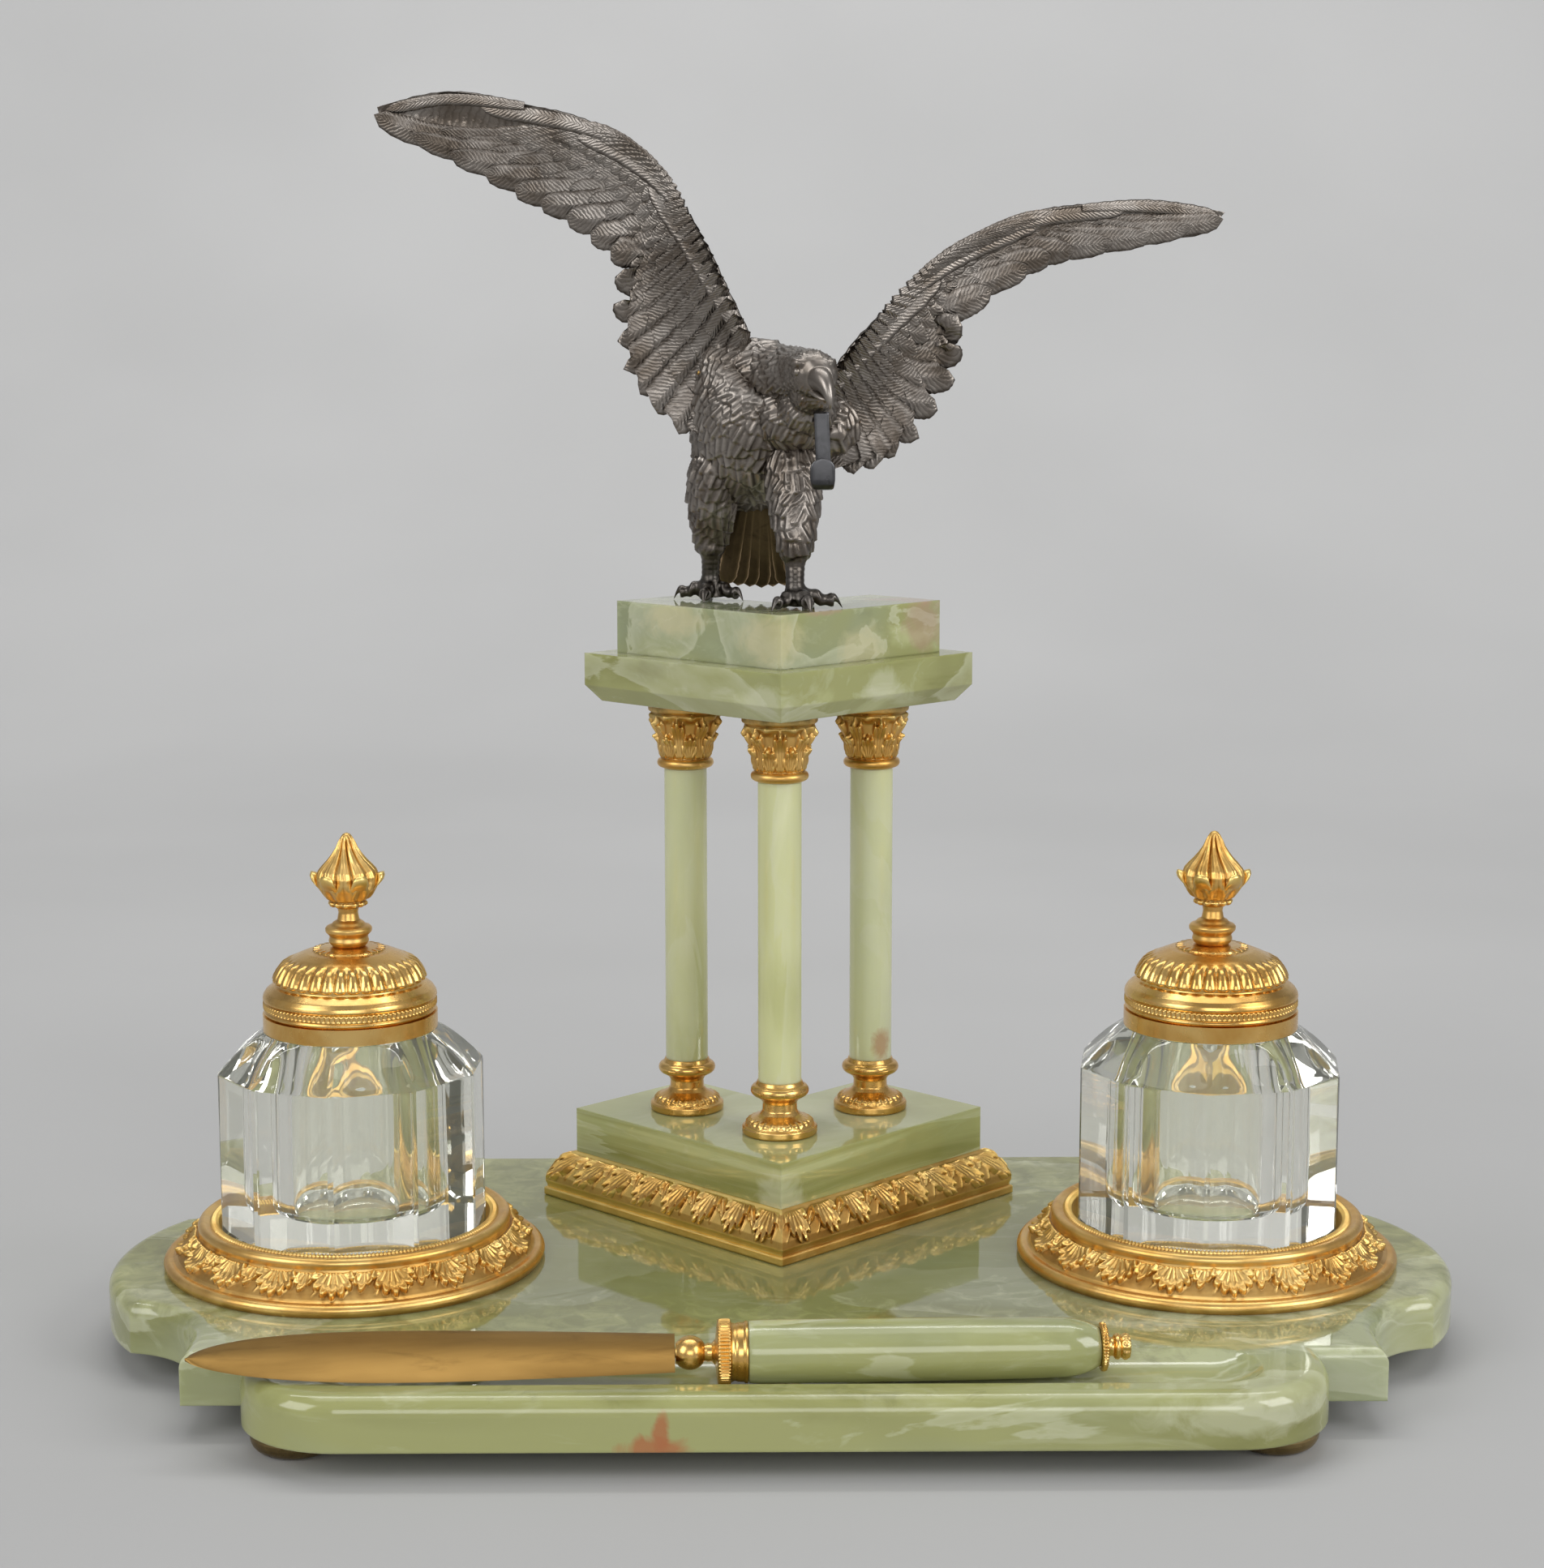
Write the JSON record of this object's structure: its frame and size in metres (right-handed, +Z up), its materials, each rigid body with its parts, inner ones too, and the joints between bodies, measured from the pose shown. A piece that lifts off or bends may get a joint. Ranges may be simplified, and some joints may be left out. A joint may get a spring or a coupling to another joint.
{
  "type": "desk inkstand",
  "caption": "Onyx desk inkstand: two faceted glass ink bottles with domed hinged lids in gilt rings, a columned tower with a spread-winged bird on top, and a paper knife in a pen trough.",
  "frame": {"origin": "middle of the footprint, on the desk under the feet", "axes": "+X to the viewer's right, +Y to the back of the desk, +Z up; the pen trough is at the front"},
  "size_m": [0.3778, 0.216, 0.3509],
  "materials": {
    "onyx": "polished green onyx with cloudy bands and veins",
    "gilt_brass": "gilt, burnished on the high parts",
    "dark_brass": "tarnished, half polished",
    "plain_brass": "turned, unpolished",
    "brass_blade": "worn satin gilt",
    "silvered_bronze": "silvered cast metal with a dark patina in the hollows",
    "dark_steel": "dark, smooth",
    "steel": "plain turned steel",
    "cut_glass": "clear cut glass, polished"
  },
  "bodies": {
    "stand": {"base_slab": "onyx", "foot_front_left": "dark_brass", "foot_front_right": "dark_brass", "foot_back_left": "dark_brass", "foot_back_right": "dark_brass", "foot_screws": "steel", "left_ring": "gilt_brass", "right_ring": "gilt_brass", "ring_screws": "steel", "plinth_moulding": "gilt_brass", "plinth": "onyx", "column_base_left": "gilt_brass", "column_base_right": "gilt_brass", "column_base_front": "gilt_brass", "column_shaft_left": "onyx", "column_shaft_right": "onyx", "column_shaft_front": "onyx", "capital_left": "gilt_brass", "capital_right": "gilt_brass", "capital_front": "gilt_brass", "tie_rods": "steel", "tie_rod_nuts": "plain_brass", "upper_slab": "onyx", "top_block": "onyx", "eagle_body": "silvered_bronze", "eagle_left_wing": "silvered_bronze", "eagle_right_wing": "silvered_bronze", "wing_dowels": "plain_brass", "eagle_studs": "steel", "stud_nuts": "plain_brass", "watch_hook": "dark_steel"},
    "left_well": {"left_bottle": "cut_glass", "left_collar": "gilt_brass", "left_hinge_pin": "steel"},
    "right_well": {"right_bottle": "cut_glass", "right_collar": "gilt_brass", "right_hinge_pin": "steel"},
    "left_cover": {"left_lid": "gilt_brass", "left_finial": "gilt_brass"},
    "right_cover": {"right_lid": "gilt_brass", "right_finial": "gilt_brass"},
    "paper_knife": {"knife_blade": "brass_blade", "knife_ferrule": "gilt_brass", "knife_handle": "onyx", "knife_button": "gilt_brass"}
  },
  "joints": [
    {"name": "left_bottle_lift", "type": "slide", "parent": "stand", "child": "left_well", "axis": [0, 0, 1], "range_m": [0, 0.08]},
    {"name": "left_lid_hinge", "type": "hinge", "parent": "left_well", "child": "left_cover", "pos_m": [-0.1204, 0.0316, 0.0935], "axis": [-1, 0, 0], "range_deg": [0, 100]},
    {"name": "right_bottle_lift", "type": "slide", "parent": "stand", "child": "right_well", "axis": [0, 0, 1], "range_m": [0, 0.08]},
    {"name": "right_lid_hinge", "type": "hinge", "parent": "right_well", "child": "right_cover", "pos_m": [0.1204, 0.0316, 0.0935], "axis": [-1, 0, 0], "range_deg": [0, 100]},
    {"name": "knife_lift", "type": "slide", "parent": "stand", "child": "paper_knife", "axis": [0, 0, 1], "range_m": [0, 0.06]}
  ]
}
